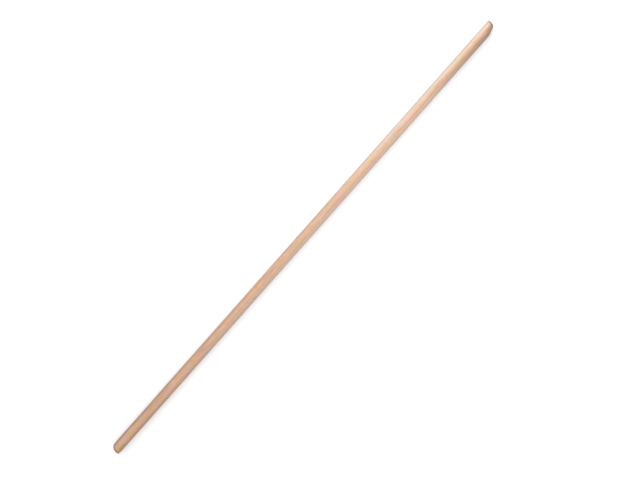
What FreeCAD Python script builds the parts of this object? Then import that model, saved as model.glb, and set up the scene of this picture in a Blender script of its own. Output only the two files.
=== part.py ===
import FreeCAD, Part
import os

import Sketcher

# A one-piece wooden pole for a paint roller, lying down.
# It is one length of hardwood, turned and sanded round. The working end, which goes into the
# roller's handle, is tapered on one side and rounded over. The butt is only rounded over.
#
# Frame: +X along the pole to its working end, +Z up, origin on its axis at the middle of its
# length. The taper takes its wood from the -Y side.

SHEET = "Sizes"
NODE = "wooden_pole"

# The two ends, as their directions along X.
TIP = 1
BUTT = -1

# The Sketcher's numbers for the points of a line or an arc, and for a sketch's own axes and origin.
START = 1
FINISH = 2
CENTRE = 3
X_AXIS = -1
Y_AXIS = -2
ORIGIN = (X_AXIS, START)

LENGTH_TOLERANCE = 0.001

# Driving dimensions in millimetres: alias, value, what it measures.
SIZES = (
    ("overall_length", 1200, "from one sawn end face to the other"),
    ("shaft_diameter", 22, "the turned shaft"),
    ("taper_length", 23, "the tapered stretch at the working end"),
    ("taper_depth", 6, "wood that the taper takes from the -Y side, at the end face"),
    ("tip_round_offset", 5, "from the shaft's axis to the middle of the tip's rounding, to +Y"),
    ("tip_round_spare", 0.4, "that the tip's rounding stands clear of the taper at its widest"),
    ("tip_edge_radius", 1.5, "eases the edge round the tip"),
    ("butt_round_offset", 3.5, "from the shaft's axis to the middle of the butt's rounding, to -Y"),
    ("butt_round_spare", 1.3, "that the butt's rounding stands clear of the shaft at its widest"),
    ("butt_edge_radius", 2.2, "eases the edge round the butt"),
    ("end_flat_diameter", 6, "the sawn face left in the middle of each rounded end"),
    ("cut_clearance", 3, "that a rounding cut runs on past the wood"),
)

SHAFT_RADIUS = f"{SHEET}.shaft_diameter / 2"
HALF_LENGTH = f"{SHEET}.overall_length / 2"

# Each end is rounded to a ball that stands off the shaft's axis. The ball takes in all of the
# wood where it is widest, so that no step is left there.
BUTT_BALL_RADIUS = f"({SHAFT_RADIUS} + {SHEET}.butt_round_offset + {SHEET}.butt_round_spare)"
TIP_BALL_RADIUS = (
    f"(({SHAFT_RADIUS} + {SHEET}.tip_round_offset - {SHEET}.taper_depth + {SHEET}.tip_round_spare)"
    f" / (1 - {SHEET}.taper_depth / {SHEET}.taper_length))"
)


def make_sheet(doc):
    sheet = doc.addObject("Spreadsheet::Sheet", SHEET)
    for row, (alias, value, meaning) in enumerate(SIZES, start=1):
        sheet.set(f"A{row}", alias)
        sheet.set(f"B{row}", str(value))
        sheet.setAlias(f"B{row}", alias)
        sheet.set(f"C{row}", meaning)
    doc.recompute()


def sketch_on(body, name, role, **offset):
    """An empty sketch on one of the body's origin planes, moved in it by formulas."""
    sketch = body.newObject("Sketcher::SketchObject", name)
    plane = next(feature for feature in body.Origin.OriginFeatures if feature.Role == role)
    sketch.AttachmentSupport = (plane, [""])
    sketch.MapMode = "FlatFace"
    for letter, formula in offset.items():
        sketch.setExpression(f"AttachmentOffset.Base.{letter}", formula)
    return sketch


def dimension(sketch, name, formula, kind, *geometry):
    """A named dimension of the sketch, tied to the spreadsheet."""
    size = sketch.evalExpression(formula)
    index = sketch.addConstraint(Sketcher.Constraint(kind, *geometry, size))
    sketch.renameConstraint(index, name)
    sketch.setExpression(f"Constraints.{name}", formula)


def section(body, name, station, radius, across="0"):
    """A round section of the pole: where it is along X, its radius, and how far it is to +Y."""
    sketch = sketch_on(body, name, "YZ_Plane", x=across, z=station)
    centre = FreeCAD.Vector()
    normal = FreeCAD.Vector(0, 0, 1)
    circle = sketch.addGeometry(Part.Circle(centre, normal, sketch.evalExpression(radius)))
    sketch.addConstraint(Sketcher.Constraint("Coincident", circle, CENTRE, *ORIGIN))
    dimension(sketch, "radius", radius, "Radius", circle)
    return sketch


def round_over(body, name, end, ball_radius, across):
    """Cuts an end to part of a ball, whose centre a formula moves across to +Y."""
    flat_depth = f"sqrt({ball_radius} ^ 2 - ({SHEET}.end_flat_diameter / 2) ^ 2)"
    station = f"{end} * ({HALF_LENGTH} - {flat_depth})"
    sketch = sketch_on(body, f"{name}_profile", "XY_Plane", x=station, y=across)

    # The sketch's origin is the ball's centre, and its X axis the line that the cut turns round.
    ball = sketch.evalExpression(ball_radius)
    past_wood = f"{ball_radius} + {SHEET}.cut_clearance"
    reach = sketch.evalExpression(past_wood)
    crown = FreeCAD.Vector(end * ball, 0)
    side = FreeCAD.Vector(0, ball)
    corners = [
        crown,
        FreeCAD.Vector(end * reach, 0),
        FreeCAD.Vector(end * reach, reach),
        FreeCAD.Vector(0, reach),
        side,
    ]
    lines = [sketch.addGeometry(Part.LineSegment(*pair)) for pair in zip(corners, corners[1:])]
    on_axis, past_end, past_side, above_ball = lines
    between = FreeCAD.Vector(end, 1).normalize() * ball
    arc = sketch.addGeometry(Part.Arc(crown, between, side))
    # An arc runs anticlockwise, so it starts at the crown only at the tip.
    at_crown, at_side = (START, FINISH) if end == TIP else (FINISH, START)
    for rule in (
        ("Coincident", on_axis, FINISH, past_end, START),
        ("Coincident", past_end, FINISH, past_side, START),
        ("Coincident", past_side, FINISH, above_ball, START),
        ("Coincident", above_ball, FINISH, arc, at_side),
        ("Coincident", on_axis, START, arc, at_crown),
        ("Coincident", arc, CENTRE, *ORIGIN),
        ("PointOnObject", arc, at_crown, X_AXIS),
        ("PointOnObject", arc, at_side, Y_AXIS),
        ("Horizontal", on_axis),
        ("Vertical", past_end),
        ("Horizontal", past_side),
        ("Vertical", above_ball),
    ):
        sketch.addConstraint(Sketcher.Constraint(*rule))
    dimension(sketch, "ball_radius", ball_radius, "Radius", arc)
    dimension(sketch, "reach_along", past_wood, "Distance", past_side)
    dimension(sketch, "reach_across", past_wood, "Distance", past_end)

    groove = body.newObject("PartDesign::Groove", name)
    groove.Profile = sketch
    groove.ReferenceAxis = (sketch, ["H_Axis"])
    groove.Angle = 360


def edges_of_ball(shape, end):
    """The names of the edges between an end's ball and the side of the pole."""
    found = []
    for number, edge in enumerate(shape.Edges, start=1):
        kinds = {face.Surface.TypeId for face in shape.ancestorsOfType(edge, Part.Face)}
        beside = kinds - {"Part::GeomSphere", "Part::GeomPlane"}
        if "Part::GeomSphere" in kinds and beside and edge.CenterOfMass.x * end > 0:
            found.append(f"Edge{number}")
    return found


def ease_edge(body, name, end, radius, ball_offset):
    """A fillet on the edge between an end's ball and the side of the pole.

    It takes no more than half of the ball's narrowest stretch between the sawn face and the side.
    """
    narrowest = f"({SHAFT_RADIUS} - {ball_offset} - {SHEET}.end_flat_diameter / 2)"
    rounded = body.Tip
    fillet = body.newObject("PartDesign::Fillet", name)
    fillet.Base = (rounded, edges_of_ball(rounded.Shape, end))
    fillet.setExpression("Radius", f"min({radius}; {narrowest} / 2)")


def make_pole(doc):
    body = doc.addObject("PartDesign::Body", NODE)
    body.Label = NODE

    shaft = body.newObject("PartDesign::Pad", "shaft")
    shaft.Profile = section(body, "butt_section", f"-{HALF_LENGTH}", SHAFT_RADIUS)
    shaft.setExpression("Length", f"{SHEET}.overall_length - {SHEET}.taper_length")

    # The taper leaves the +Y side straight, so its section shrinks and moves to +Y alike.
    half_depth = f"{SHEET}.taper_depth / 2"
    taper = body.newObject("PartDesign::AdditiveLoft", "taper")
    taper.Profile = section(
        body, "taper_start", f"{HALF_LENGTH} - {SHEET}.taper_length", SHAFT_RADIUS
    )
    taper.Sections = [
        section(body, "taper_end", HALF_LENGTH, f"{SHAFT_RADIUS} - {half_depth}", half_depth)
    ]

    tip_offset = f"{SHEET}.tip_round_offset"
    butt_offset = f"{SHEET}.butt_round_offset"
    round_over(body, "tip_rounding", TIP, TIP_BALL_RADIUS, tip_offset)
    round_over(body, "butt_rounding", BUTT, BUTT_BALL_RADIUS, f"-{butt_offset}")
    doc.recompute()
    ease_edge(body, "tip_edge", TIP, f"{SHEET}.tip_edge_radius", tip_offset)
    doc.recompute()
    ease_edge(body, "butt_edge", BUTT, f"{SHEET}.butt_edge_radius", butt_offset)
    return body


def check(doc, pole):
    """Stops the build if a feature failed, or if the pole isn't one sound solid of its full length."""
    for thing in doc.Objects:
        faults = {"Invalid", "Error"} & set(thing.State)
        if faults:
            raise RuntimeError(f"{thing.Label} is {', '.join(faults)}")
    shape = pole.Shape
    if shape.isNull() or not shape.isValid() or len(shape.Solids) != 1:
        raise RuntimeError(f"{pole.Label} isn't one valid solid")
    corners = [vertex.X for vertex in shape.Vertexes]
    if abs(max(corners) - min(corners) - doc.getObject(SHEET).overall_length) > LENGTH_TOLERANCE:
        raise RuntimeError(f"{pole.Label} lost an end")


doc = FreeCAD.newDocument("roller_pole")
make_sheet(doc)
pole = make_pole(doc)
doc.recompute()
check(doc, pole)

os.makedirs("parts", exist_ok=True)
pole.Shape.exportStep(f"parts/{pole.Label}.step")
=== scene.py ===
import math

import bmesh
import bpy
from mathutils import Matrix, Vector, noise


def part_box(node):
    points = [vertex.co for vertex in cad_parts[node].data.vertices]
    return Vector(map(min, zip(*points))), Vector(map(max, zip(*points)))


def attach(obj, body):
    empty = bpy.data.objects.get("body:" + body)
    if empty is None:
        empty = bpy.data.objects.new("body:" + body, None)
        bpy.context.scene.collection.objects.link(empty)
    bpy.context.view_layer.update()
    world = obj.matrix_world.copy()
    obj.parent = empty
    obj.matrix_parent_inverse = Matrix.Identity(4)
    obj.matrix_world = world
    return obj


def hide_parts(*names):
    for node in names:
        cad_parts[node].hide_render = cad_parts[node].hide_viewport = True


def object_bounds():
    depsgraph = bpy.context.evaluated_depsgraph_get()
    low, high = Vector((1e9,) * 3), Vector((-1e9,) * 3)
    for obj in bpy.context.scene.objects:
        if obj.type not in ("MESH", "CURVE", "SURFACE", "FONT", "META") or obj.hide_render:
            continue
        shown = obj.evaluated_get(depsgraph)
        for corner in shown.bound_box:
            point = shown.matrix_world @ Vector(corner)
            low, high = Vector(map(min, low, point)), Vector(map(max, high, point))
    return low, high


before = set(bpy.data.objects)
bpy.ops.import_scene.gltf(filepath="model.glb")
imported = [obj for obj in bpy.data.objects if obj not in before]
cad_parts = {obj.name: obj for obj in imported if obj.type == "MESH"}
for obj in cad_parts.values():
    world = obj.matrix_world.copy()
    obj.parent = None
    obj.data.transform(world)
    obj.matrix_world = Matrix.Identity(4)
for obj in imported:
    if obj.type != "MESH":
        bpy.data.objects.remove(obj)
cad_low, cad_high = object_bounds()

# ---------------------------------------------------------------- sizes
# In metres. +X runs to the tip, the thinned working end, and the thinning takes its wood from
# the -Y side. The pole lies on its -Z side.
MM = 0.001
pole_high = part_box("wooden_pole")[1]
HALF_LENGTH = pole_high[0]
SHAFT_RADIUS = pole_high[1]

# The two ends, as their directions along X.
TIP = 1
BUTT = -1

TAPER_LENGTH = 23 * MM
TAPER_DEPTH = 6 * MM  # wood that the taper takes, at the end face
FLAT_RADIUS = 3 * MM  # of the small sawn flat left at the middle of each rounded end
FLAT_SHARE = FLAT_RADIUS / SHAFT_RADIUS

# Each end is rounded to a ball, whose middle stands this far to +Y of the pole's axis.
BALL_ASIDE = {TIP: 5 * MM, BUTT: -3.5 * MM}
# How far the ball stands clear of the wood where that is widest, so that no step is left there.
TIP_SPARE = 0.4 * MM
BUTT_SPARE = 1.3 * MM
BALL_RADIUS = {
    TIP: (SHAFT_RADIUS + BALL_ASIDE[TIP] - TAPER_DEPTH + TIP_SPARE)
    / (1 - TAPER_DEPTH / TAPER_LENGTH),
    BUTT: SHAFT_RADIUS - BALL_ASIDE[BUTT] + BUTT_SPARE,
}
EDGE_WIDTH = {TIP: 0.8 * MM, BUTT: 1.2 * MM}  # from the rim to where its easing ends

# Where the last stretch of each end starts along the pole.
END_START = {TIP: HALF_LENGTH - TAPER_LENGTH, BUTT: -HALF_LENGTH + 18 * MM}

# ---------------------------------------------------------------- the mesh's divisions
SPIN_STEPS = 96  # round the pole
SHAFT_STEPS = 116  # along the plain shaft
DENT_STEPS = 6  # from a dent's middle to each end of it
TIP_STEPS = (0.12, 0.24, 0.36, 0.48, 0.6, 0.72, 0.84, 0.92)  # shares of the taper's length
BUTT_STEPS = (0.2, 0.4, 0.6, 0.8)  # shares of the butt's last stretch
FACE_STEPS = (0.0, 0.15, 0.3, 0.42, 0.53)  # out from the flat, in shaft radii
EDGE_STEPS = 4  # across the eased edge of an end

MERGE_WITHIN = 0.01 * MM
SAME_PLACE = 1e-7  # metres within which two places are one
ON_AXIS = 1e-6  # metres within which a vertex is on the axis
ON_FLAT = 1e-6  # metres within which a vertex is on a sawn flat
ON_SIDE = 0.999  # of a unit radius: a vertex further out is on the side, not on an end face

# ---------------------------------------------------------------- wear
# Sanding leaves broad flats along the shaft. The taper and the rounded ends are dressed by hand,
# in small facets. Each is how long its marks are, how wide and how deep.
SANDED = (90 * MM, 8 * MM, 0.07 * MM)
DRESSED = (12 * MM, 4.5 * MM, 0.22 * MM)
DRESSED_SHIFT = 7  # takes the facets from another part of the noise than the flats
DRESSED_ON_FLAT = 0.25  # share of the facets' depth that the sawn flats get

# Where the dressed stretch starts, and how soon it is full, on the tip and on both ends.
DRESSED_TIP = (570 * MM, 20 * MM)
DRESSED_ENDS = (585 * MM, 8 * MM)

RIM_DIRT = 3.2 * MM  # how far dirt reaches from the rim of each end
RIM_DIRT_MOST = 0.95
RIM_DIRT_FROM = 0.1  # of the shaft's radius: nearer the axis a place has no nearest rim

# Dents: place along the pole, degrees round it from the underside, half length, half width,
# depth, and how dirty each is.
DENTS = (
    (576 * MM, 221, 3.6 * MM, 2.0 * MM, 0.4 * MM, 0.7),
    (-587.6 * MM, 139, 3.0 * MM, 1.4 * MM, 0.12 * MM, 0.6),
    (-573.7 * MM, 214, 3.4 * MM, 1.3 * MM, 0.12 * MM, 0.6),
    (-541.6 * MM, 208, 2.8 * MM, 1.1 * MM, 0.08 * MM, 0.4),
    (-522.3 * MM, 208, 3.4 * MM, 1.0 * MM, 0.08 * MM, 0.4),
    (-468.7 * MM, 139, 3.2 * MM, 1.2 * MM, 0.1 * MM, 0.4),
    (-402 * MM, 132, 4.0 * MM, 2.2 * MM, 0.25 * MM, 0.2),
    (-148 * MM, 221, 5.0 * MM, 2.4 * MM, 0.2 * MM, 0.2),
    (232.5 * MM, 221, 3.4 * MM, 1.2 * MM, 0.1 * MM, 0.4),
    (380 * MM, 169, 2.8 * MM, 1.1 * MM, 0.08 * MM, 0.4),
    (495.3 * MM, 139, 3.0 * MM, 1.1 * MM, 0.08 * MM, 0.35),
    (509.6 * MM, 139, 2.6 * MM, 1.0 * MM, 0.08 * MM, 0.35),
    (509.6 * MM, 169, 2.4 * MM, 1.0 * MM, 0.06 * MM, 0.3),
)

# ---------------------------------------------------------------- wood
# The wood's own sizes are in millimetres, as its material measures them.
MM_TO_A_METRE = 1000
PITH_TURN = math.radians(-78)  # turns Y to point away from the pith, which lay under the pole
PITH_DISTANCE = 75.0  # from the pole's axis, before the rings wander
RING_WANDER = 9.0
RING_SPACING = 2.6
RAY_CELL = (3.4, 5.5, 0.7)  # one ray's room: along the fibres, out from the pith, round it

# Roughness: the smoothest wood's, and what fibres, rays and end grain add to it.
SMOOTHEST = 0.4
FIBRE_ROUGHNESS = 0.16
RAY_ROUGHNESS = 0.08
END_GRAIN_ROUGHNESS = 0.25

# Relief: how high ring lines and pores stand against the fibres, and the depth of it all.
RING_RELIEF = 0.35
PORE_RELIEF = 0.8
RELIEF_STRENGTH = 0.5
RELIEF_DEPTH = 0.06 * MM  # in metres, as Bump takes it

# Figure in the wood: its size along the fibres, across them, and the noise's detail.
FIGURE = (
    ("fibre", 22, 0.45, 3),
    ("mottle", 15, 7, 2),
    ("patch", 18, 8, 2),
    ("curl", 7, 2, 2),
    ("slow", 190, 30, 1),
    ("wander", 230, 60, 1),
    ("grime", 3, 2, 3),
    ("patchiness", 24, 6, 2),
    ("pores", 0.42, 0.42, 2),
)

WOOD_COLOUR = "#C4A890"
DIRT_COLOUR = "#5A3F2A"

# Broad changes of tone: the figure's level where each starts and where it is full, the most of
# it, and its colour.
TONES = (
    ("mottle", 0.42, 0.6, 1.0, "#D19D8E"),
    ("patch", 0.45, 0.62, 0.95, "#C9A375"),
    ("slow", 0.62, 0.3, 0.25, "#B08C72"),
    ("curl", 0.6, 0.3, 0.35, "#A5846B"),
)

# Painted light and a tint, by place: painted shade toward the butt, on the -Y side of the tip and
# from the flanks down, a painted highlight on the +Y side of the tip half, and a paler grey on the
# -Y side. Each starts and is full at two places along X, in metres, and at two places across the
# pole, in shaft radii. Then come the least and the most of it, and its colour.
PAINTED_LIGHT_AND_TINTS = (
    # painted shade: darker toward the butt, most on both flanks
    (0.1, -0.6, "both sides", 0.35, 0.9, 0.16, 0.78, "#7E5230"),
    # painted highlight: paler and greyer on the +Y side of the tip half
    (0.02, 0.3, "Y", -0.1, 0.6, 0.0, 0.62, "#C0B5A9"),
    # paler and greyer on the -Y side, from near the middle to the tip
    (-0.5, -0.1, "Y", -0.3, -0.75, 0.0, 0.3, "#CFC8C2"),
    # painted shade on the -Y side of the tip
    (0.4, 0.53, "Y", 0.4, -0.85, 0.0, 0.75, "#7C5A42"),
    # painted shade from the flanks down on the whole pole, most underneath
    (-0.7, -0.6, "Z", 0.74, 0.25, 0.0, 0.5, "#5A4C40"),
)

# ---------------------------------------------------------------- stage
FLOOR_HALF_WIDTH = 12
FLOOR_COLOUR = "#F2F2F2"
# Lights: name, place, what each is aimed at, width in metres, watts.
LIGHTS = (
    ("overhead", (0.3, 0.0, 2.2), (0.3, 0, 0), 0.5, 10.9),
    ("key", (1.0, 0.9, 0.9), (0.45, 0, 0), 0.7, 10.4),
)
ROOM_LIGHT = 1.06  # strength of the even white room


# ---------------------------------------------------------------- camera
def set_camera():
    """Looks down on the lying pole from a little toward its tip, turned so that the pole runs
    corner to corner."""
    distance = 2.5  # metres
    lean = math.radians(6.69)  # from straight above toward the tip
    turn = math.radians(48.43)  # about the line of sight
    beside, above = 0.0449, 0.0064  # metres from the pole's middle, as the camera sees them
    back = Vector((math.sin(lean), 0, math.cos(lean)))
    along = Vector((math.cos(lean), 0, -math.sin(lean)))
    across = Vector((0, 1, 0))
    right = math.cos(turn) * along - math.sin(turn) * across
    up = math.sin(turn) * along + math.cos(turn) * across
    data = bpy.data.cameras.new("camera")
    data.lens, data.sensor_width = 67.34, 36  # millimetres
    camera = bpy.data.objects.new("camera", data)
    bpy.context.scene.collection.objects.link(camera)
    turned = Matrix((right, up, back)).transposed()
    place = back * distance + right * beside + up * above
    camera.matrix_world = Matrix.Translation(place) @ turned.to_4x4()
    bpy.context.scene.camera = camera


# ---------------------------------------------------------------- node helper and colours
def linear(hex_colour):
    """An sRGB hex colour as the linear RGBA that a shader takes."""
    parts = [int(hex_colour[i : i + 2], 16) / 255 for i in (1, 3, 5)]
    return [x / 12.92 if x <= 0.04045 else ((x + 0.055) / 1.055) ** 2.4 for x in parts] + [1]


def add(tree, kind, inputs=None, stops=(), **settings):
    """Adds a node and sets it up. An input takes a value, an output or a node, whose first output
    it then uses. stops are a ramp's (place, grey level), its two outermost first."""
    node = tree.nodes.new("ShaderNode" + kind)
    for name, value in settings.items():
        setattr(node, name, value)
    for name, value in (inputs or {}).items():
        if isinstance(value, bpy.types.Node):
            value = next(output for output in value.outputs if output.enabled)
        if isinstance(value, bpy.types.NodeSocket):
            tree.links.new(value, node.inputs[name])
        else:
            node.inputs[name].default_value = value
    for number, (place, level) in enumerate(stops):
        elements = node.color_ramp.elements
        element = elements[number] if number < 2 else elements.new(place)
        element.position = place
        element.color = (level, level, level, 1)
    return node


def new_material(name):
    material = bpy.data.materials.new(name)
    material.use_nodes = True
    material.node_tree.nodes.clear()
    return material


# ---------------------------------------------------------------- beech
def growth_rings(tree, place, wander):
    """Rings that are pale, then a thin darker line, and wander a little along the pole."""
    wandering = add(tree, "Math", {0: wander, 1: RING_WANDER, 2: PITH_DISTANCE},
                    operation="MULTIPLY_ADD")
    apart = add(tree, "SeparateXYZ", {0: place})
    outward = add(tree, "Math", {0: apart.outputs["Y"], 1: wandering}, operation="ADD")
    around_pith = add(tree, "CombineXYZ", {"Y": outward, "Z": apart.outputs["Z"]})
    from_pith = add(tree, "VectorMath", {0: around_pith}, operation="LENGTH").outputs["Value"]
    rings = add(tree, "Math", {0: from_pith, 1: RING_SPACING}, operation="DIVIDE")
    ring = add(tree, "Math", {0: rings}, operation="FRACT")
    return add(tree, "ValToRGB", {0: ring},
               stops=((0.0, 0.25), (1.0, 0.25), (0.12, 0.0), (0.6, 0.1), (0.92, 1.0)))


def ray_flecks(tree, place):
    """Rays: thin sheets that stand toward the pith, so dashes where the face follows the rings."""
    cells = add(tree, "Mapping", {"Vector": place, "Scale": [1 / size for size in RAY_CELL]})
    ray = add(tree, "TexVoronoi", {"Vector": cells, "Scale": 1.0, "Randomness": 1.0})
    strength = add(tree, "SeparateColor", {0: ray.outputs["Color"]})
    shape = add(tree, "ValToRGB", {0: ray.outputs["Distance"]},
                stops=((0.0, 1.0), (0.34, 0.0), (0.16, 0.8)))
    return add(tree, "Math", {0: shape, 1: strength}, operation="MULTIPLY")


def paint_light_by_place(tree, coords, colour, patchy):
    """Tints the wood by place, in patches: painted shade toward the butt, on the -Y side of the
    tip and from the flanks down, a painted highlight on the +Y side of the tip half, and a paler
    grey on the -Y side.
    """
    place = add(tree, "SeparateXYZ", {0: coords.outputs["Object"]}).outputs
    sides = add(tree, "Math", {0: place["Y"]}, operation="ABSOLUTE")
    directions = {"both sides": sides, "Y": place["Y"], "Z": place["Z"]}
    for x_from, x_to, direction, side_from, side_to, least, most, tint in PAINTED_LIGHT_AND_TINTS:
        along = add(tree, "MapRange", {"Value": place["X"], "From Min": x_from, "From Max": x_to})
        around = add(tree, "MapRange", {
            "Value": directions[direction], "From Min": side_from * SHAFT_RADIUS,
            "From Max": side_to * SHAFT_RADIUS, "To Min": least, "To Max": most})
        both = add(tree, "Math", {0: along, 1: around}, operation="MULTIPLY")
        both = add(tree, "Math", {0: both, 1: patchy}, operation="MULTIPLY")
        colour = add(tree, "Mix", {0: both, 6: colour, 7: linear(tint)}, data_type="RGBA")
    return colour


def bare_beech():
    """Beech, turned, belt-sanded and left bare. The eye sees a pinkish tan with ochre patches,
    faint growth rings, short brown ray flecks and a low sheen. The rounded ends show duller,
    browner end grain with grime on their edges."""
    material = new_material("beech_turned_sanded_bare")
    tree = material.node_tree
    coords = add(tree, "TexCoord")
    place = add(tree, "Mapping", {"Vector": coords.outputs["Object"],
                                  "Scale": (MM_TO_A_METRE, MM_TO_A_METRE, MM_TO_A_METRE),
                                  "Rotation": (PITH_TURN, 0, 0)})
    figure = {}
    for name, along, across, detail in FIGURE:
        stretched = add(tree, "Mapping",
                        {"Vector": place, "Scale": (1 / along, 1 / across, 1 / across)})
        figure[name] = add(tree, "TexNoise",
                           {"Vector": stretched, "Scale": 1.0, "Detail": detail})
    ring_line = growth_rings(tree, place, figure["wander"])
    flecks = ray_flecks(tree, place)
    fibre_lines = add(tree, "MapRange",
                      {"Value": figure["fibre"], "From Min": 0.4, "From Max": 0.65})

    # Where the cut turns across the grain, the open ends of the fibres look darker and duller,
    # and the edge between holds grime.
    normal = add(tree, "SeparateXYZ", {0: coords.outputs["Normal"]})
    facing = add(tree, "Math", {0: normal}, operation="ABSOLUTE")
    end_grain = add(tree, "ValToRGB", {0: facing}, stops=((0.06, 0.0), (0.5, 0.85)))
    edge = add(tree, "ValToRGB", {0: facing},
               stops=((0.08, 0.0), (0.85, 0.0), (0.3, 0.55), (0.62, 0.5)))
    grime_spread = add(tree, "ValToRGB", {0: figure["grime"]}, stops=((0.3, 0.5), (0.65, 1.0)))
    grime = add(tree, "Math", {0: edge, 1: grime_spread}, operation="MULTIPLY")

    # Each layer tints what is under it: how much of it there is, and its colour.
    colour = linear(WOOD_COLOUR)
    for name, start, full, most, tint in TONES:
        share = add(tree, "MapRange", {"Value": figure[name], "From Min": start,
                                       "From Max": full, "To Max": most})
        colour = add(tree, "Mix", {0: share, 6: colour, 7: linear(tint)}, data_type="RGBA")
    for layer, most, tint in (
        (end_grain, 0.9, "#A47E60"),
        (ring_line, 0.36, "#976C50"),
        (flecks, 0.6, "#7E5438"),
        (fibre_lines, 0.3, "#8A6750"),
        (grime, 1.0, "#6A4C33"),
    ):
        share = add(tree, "Math", {0: layer, 1: most}, operation="MULTIPLY")
        colour = add(tree, "Mix", {0: share, 6: colour, 7: linear(tint)}, data_type="RGBA")
    # Painted shade and a painted highlight, by place on the pole, broken into patches.
    patchy = add(tree, "MapRange", {"Value": figure["patchiness"], "From Min": 0.3,
                                    "From Max": 0.6, "To Min": 0.6})
    colour = paint_light_by_place(tree, coords, colour, patchy)

    # Dirt sits in the dents and along the rims of both ends.
    soiled = add(tree, "Attribute", attribute_name="soiled").outputs["Fac"]
    soiled = add(tree, "Math", {0: soiled, 1: grime_spread}, operation="MULTIPLY", use_clamp=True)
    colour = add(tree, "Mix", {0: soiled, 6: colour, 7: linear(DIRT_COLOUR)}, data_type="RGBA")

    # Bare wood has a low sheen along the fibres, duller on rays and end grain.
    roughness = add(tree, "Math", {0: figure["fibre"], 1: FIBRE_ROUGHNESS, 2: SMOOTHEST},
                    operation="MULTIPLY_ADD")
    roughness = add(tree, "Math", {0: flecks, 1: RAY_ROUGHNESS, 2: roughness},
                    operation="MULTIPLY_ADD")
    roughness = add(tree, "Math", {0: end_grain, 1: END_GRAIN_ROUGHNESS, 2: roughness},
                    operation="MULTIPLY_ADD", use_clamp=True)

    # Sanding leaves the hard ring lines proud, and end grain shows its open pores.
    relief = add(tree, "Math", {0: ring_line, 1: RING_RELIEF, 2: figure["fibre"]},
                 operation="MULTIPLY_ADD")
    open_ends = add(tree, "Math", {0: figure["pores"], 1: end_grain}, operation="MULTIPLY")
    relief = add(tree, "Math", {0: open_ends, 1: PORE_RELIEF, 2: relief},
                 operation="MULTIPLY_ADD")
    bump = add(tree, "Bump", {"Height": relief, "Strength": RELIEF_STRENGTH,
                              "Distance": RELIEF_DEPTH})
    shader = add(tree, "BsdfPrincipled",
                 {"Base Color": colour, "Roughness": roughness, "Normal": bump, "IOR": 1.5})
    add(tree, "OutputMaterial", {"Surface": shader})
    return material


# ---------------------------------------------------------------- the pole's shape
def end_of(x):
    return TIP if x > 0 else BUTT


def section(x):
    """The pole's radius and how far its middle lies to +Y at x: the taper thins it from the -Y
    side only."""
    cut = TAPER_DEPTH * max(0.0, x - (HALF_LENGTH - TAPER_LENGTH)) / TAPER_LENGTH
    return SHAFT_RADIUS - cut / 2, cut / 2


def on_ball(y, z, end):
    """Where the rounded end lies along X at this place in its section."""
    radius = BALL_RADIUS[end]
    middle = HALF_LENGTH - math.sqrt(radius**2 - FLAT_RADIUS**2)
    off_axis = (y - BALL_ASIDE[end]) ** 2 + z**2
    return end * min(HALF_LENGTH, middle + math.sqrt(max(radius**2 - off_axis, 0.0)))


def rim_point(side, end):
    """Where the line along the pole on this side meets the rounded end. side is a unit vector
    across the pole."""
    x = end * HALF_LENGTH
    for _ in range(12):  # steps that settle on the meeting place
        radius, aside = section(x)
        y, z = aside + radius * side.y, radius * side.z
        x = on_ball(y, z, end)
    return Vector((x, y, z))


def outline():
    """The pole's outline from butt to tip, as places along X and shares of the way from the axis
    to the side. It is divided more finely where there is a dent."""
    shaft_from, shaft_to = END_START[BUTT], END_START[TIP]
    shaft = [shaft_from + (shaft_to - shaft_from) * i / SHAFT_STEPS
             for i in range(SHAFT_STEPS + 1)]
    shaft += [-HALF_LENGTH / 2, 0.0, HALF_LENGTH / 2]  # where the shaft is split to be unrolled
    for x, _, length, _, _, _ in DENTS:
        shaft += [x + length * k / DENT_STEPS for k in range(-DENT_STEPS, DENT_STEPS + 1)]
    shaft = sorted({round(x, 6) for x in shaft if shaft_from <= x <= shaft_to})
    tip = [shaft_to + (HALF_LENGTH - shaft_to) * share for share in TIP_STEPS]
    butt = [shaft_from + (-HALF_LENGTH - shaft_from) * share for share in reversed(BUTT_STEPS)]
    face = [0.0] + [FLAT_SHARE + step for step in FACE_STEPS] + [1.0]
    line = [(-HALF_LENGTH, share) for share in face]
    line += [(x, 1.0) for x in butt + shaft + tip]
    return line + [(HALF_LENGTH, share) for share in reversed(face)]


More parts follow.
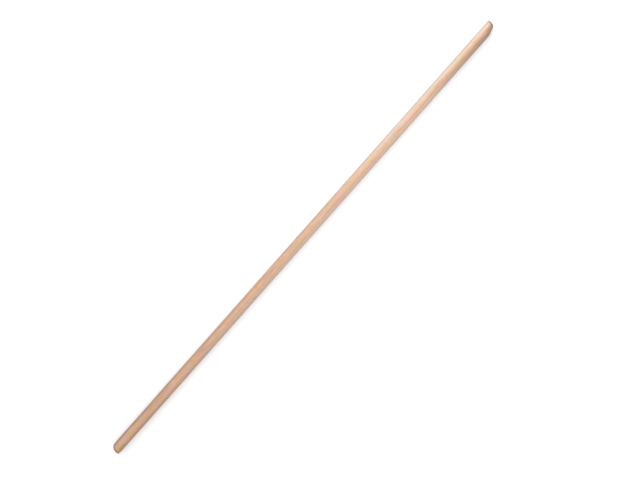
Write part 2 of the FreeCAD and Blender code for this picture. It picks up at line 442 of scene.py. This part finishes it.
def turn_pole():
    """Spins the pole's outline round its axis at a radius of one, takes each vertex to its place
    on the thinned, round-ended pole, and eases the edges of both ends."""
    bm = bmesh.new()
    line = [bm.verts.new((x, 0, -share)) for x, share in outline()]
    edges = [bm.edges.new(pair) for pair in zip(line, line[1:])]
    bmesh.ops.spin(bm, geom=line + edges, cent=(0, 0, 0), axis=(1, 0, 0), dvec=(0, 0, 0),
                   angle=2 * math.pi, steps=SPIN_STEPS, use_merge=True, use_normal_flip=False,
                   use_duplicate=False)
    bmesh.ops.remove_doubles(bm, verts=bm.verts, dist=MERGE_WITHIN)

    rim_verts = {TIP: set(), BUTT: set()}
    for vert in bm.verts:
        x, share = vert.co.x, math.hypot(vert.co.y, vert.co.z)
        if share > ON_AXIS:
            side = Vector((0, vert.co.y, vert.co.z)) / share
        else:
            side = Vector((0, 0, 1))
        end = end_of(x)
        start = END_START[end]
        rim = rim_point(side, end)
        if share > ON_SIDE and end * x <= end * start + SAME_PLACE:
            vert.co = Vector((x, SHAFT_RADIUS * side.y, SHAFT_RADIUS * side.z))
        elif share > ON_SIDE:
            x = start + (rim.x - start) * (x - start) / (end * HALF_LENGTH - start)
            radius, aside = section(x)
            vert.co = Vector((x, aside + radius * side.y, radius * side.z))
            if abs(x - rim.x) < SAME_PLACE:
                rim_verts[end].add(vert)
        else:
            middle = Vector((0, BALL_ASIDE[end], 0))
            inner = middle + side * min(share, FLAT_SHARE) * SHAFT_RADIUS
            part = max(0.0, (share - FLAT_SHARE) / (1 - FLAT_SHARE))
            y, z = inner.y + (rim.y - inner.y) * part, inner.z + (rim.z - inner.z) * part
            vert.co = Vector((on_ball(y, z, end), y, z))
    bmesh.ops.recalc_face_normals(bm, faces=bm.faces)
    for end, width in EDGE_WIDTH.items():
        rim_edges = [e for e in bm.edges if rim_verts[end].issuperset(e.verts)]
        bmesh.ops.bevel(bm, geom=rim_edges, offset=width, offset_type="OFFSET", affect="EDGES",
                        segments=EDGE_STEPS, profile=0.5, material=-1, clamp_overlap=True,
                        loop_slide=True)
    return bm


def worked_depth(place, marks, shift=0):
    """How deep sanding or dressing has gone at a place, for marks of one size."""
    length, width, depth = marks
    level = noise.noise(Vector((place.x / length + shift, place.y / width, place.z / width)))
    return depth * (level * 0.5 + 0.5)


def reached(distance, span):
    """0 before a stretch's start, 1 once it is full."""
    start, length = span
    return max(0.0, min(1.0, (distance - start) / length))


def wear_pole(bm):
    """Presses the small unevenness of sanding and use into the wood, always inward, and notes how
    dirty it is."""
    bm.normal_update()
    soiled = bm.verts.layers.float.new("soiled")
    for vert in bm.verts:
        x, y, z = vert.co
        near_end = reached(abs(x), DRESSED_ENDS)
        dressed = max(reached(x, DRESSED_TIP), near_end)
        if abs(x) > HALF_LENGTH - ON_FLAT:
            dressed *= DRESSED_ON_FLAT
        depth = worked_depth(vert.co, SANDED)
        depth += worked_depth(vert.co, DRESSED, DRESSED_SHIFT) * dressed
        around = math.degrees(math.atan2(y, -z)) % 360
        for at, angle, length, width, deep, dirt in DENTS:
            off_along = (x - at) / length
            off_around = math.radians(around - angle) * SHAFT_RADIUS / width
            off = off_along * off_along + off_around * off_around
            if off < 1:
                depth += deep * (1 - off) ** 2
                vert[soiled] = max(vert[soiled], dirt * (1 - off))
        if near_end > 0:
            side = Vector((0, y - section(x)[1], z))
            if side.length > RIM_DIRT_FROM * SHAFT_RADIUS:
                off_rim = (vert.co - rim_point(side.normalized(), end_of(x))).length
                vert[soiled] = max(vert[soiled], RIM_DIRT_MOST * (1 - off_rim / RIM_DIRT))
        vert.co -= vert.normal * depth
        vert.co.x = max(-HALF_LENGTH, min(HALF_LENGTH, vert.co.x))


def turn_from_underside(y, z):
    """How far round the pole a place is, from 0 to 1."""
    return math.atan2(y, -z) / (2 * math.pi) % 1


def lay_out(bm):
    """Unrolls the shaft in four equal lengths, split along the underside, with the two end faces
    beside them. Places on the map are shares of its width and height."""
    layer = bm.loops.layers.uv.new("OFBake")
    quarter = HALF_LENGTH / 2
    quarter_width, left, margin, gap = 0.968, 0.016, 0.004, 0.006
    disc_middle = {BUTT: 0.1, TIP: 0.3}
    looks_along, ends_within = 0.45, 20 * MM  # which faces are an end's, not the shaft's
    scale = quarter_width / quarter
    girth = 2 * math.pi * SHAFT_RADIUS * scale
    disc = SHAFT_RADIUS * scale
    for face in bm.faces:
        middle = face.calc_center_median()
        if abs(face.normal.x) > looks_along and abs(middle.x) > HALF_LENGTH - ends_within:
            end = end_of(middle.x)
            for loop in face.loops:
                _, y, z = loop.vert.co
                loop[layer].uv = (disc_middle[end] + end * y * scale,
                                  1 - margin - disc + z * scale)
            continue
        number = min(3, max(0, int((middle.x + HALF_LENGTH) / quarter)))
        start = -HALF_LENGTH + number * quarter
        middle_turn = turn_from_underside(middle.y, middle.z)
        for loop in face.loops:
            x, y, z = loop.vert.co
            turn = turn_from_underside(y, z)
            turn += round(middle_turn - turn)
            loop[layer].uv = (left + (x - start) * scale,
                              margin + number * (girth + gap) + turn * girth)


def put_faces_in_order(bm):
    """Numbers the faces by their vertices, because a spin makes them in no fixed order."""
    bm.verts.index_update()
    in_order = sorted(bm.faces, key=lambda face: sorted(vert.index for vert in face.verts))
    number = {face: n for n, face in enumerate(in_order)}
    bm.faces.sort(key=lambda face: number[face])


def make_pole():
    bm = turn_pole()
    put_faces_in_order(bm)
    wear_pole(bm)
    for face in bm.faces:
        face.smooth = True
    bmesh.ops.recalc_face_normals(bm, faces=bm.faces)
    bm.normal_update()
    lay_out(bm)
    mesh = bpy.data.meshes.new("beech_pole")
    bm.to_mesh(mesh)
    bm.free()
    mesh.materials.append(bare_beech())
    pole = bpy.data.objects.new("beech_pole", mesh)
    bpy.context.scene.collection.objects.link(pole)
    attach(pole, "root")
    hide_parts("wooden_pole")


# ---------------------------------------------------------------- floor and light
def lay_floor():
    """A plain floor of matt white paper under the pole, which gives soft shadows and no gloss."""
    bm = bmesh.new()
    bmesh.ops.create_grid(bm, x_segments=1, y_segments=1, size=FLOOR_HALF_WIDTH)
    bmesh.ops.translate(bm, verts=bm.verts, vec=(0, 0, cad_low.z))
    mesh = bpy.data.meshes.new("floor")
    bm.to_mesh(mesh)
    bm.free()
    paper = new_material("white_paper_matt")
    shader = add(paper.node_tree, "BsdfDiffuse", {"Color": linear(FLOOR_COLOUR)})
    add(paper.node_tree, "OutputMaterial", {"Surface": shader})
    mesh.materials.append(paper)
    floor = bpy.data.objects.new("floor", mesh)
    bpy.context.scene.collection.objects.link(floor)


def set_lights():
    """A soft light overhead, one beyond the tip on its +Y side, and an even white room."""
    for name, place, aim, width, watts in LIGHTS:
        data = bpy.data.lights.new(name, "AREA")
        data.shape, data.size, data.energy = "SQUARE", width, watts
        light = bpy.data.objects.new(name, data)
        light.visible_camera = False
        light.location = place
        light.rotation_mode = "QUATERNION"
        light.rotation_quaternion = (Vector(aim) - Vector(place)).to_track_quat("-Z", "Y")
        bpy.context.scene.collection.objects.link(light)

    world = bpy.data.worlds.new("studio")
    world.use_nodes = True
    background = world.node_tree.nodes["Background"].inputs
    background["Color"].default_value = (1, 1, 1, 1)
    background["Strength"].default_value = ROOM_LIGHT
    bpy.context.scene.world = world
    bpy.context.scene.view_settings.view_transform = "Standard"


set_camera()
make_pole()
lay_floor()
set_lights()
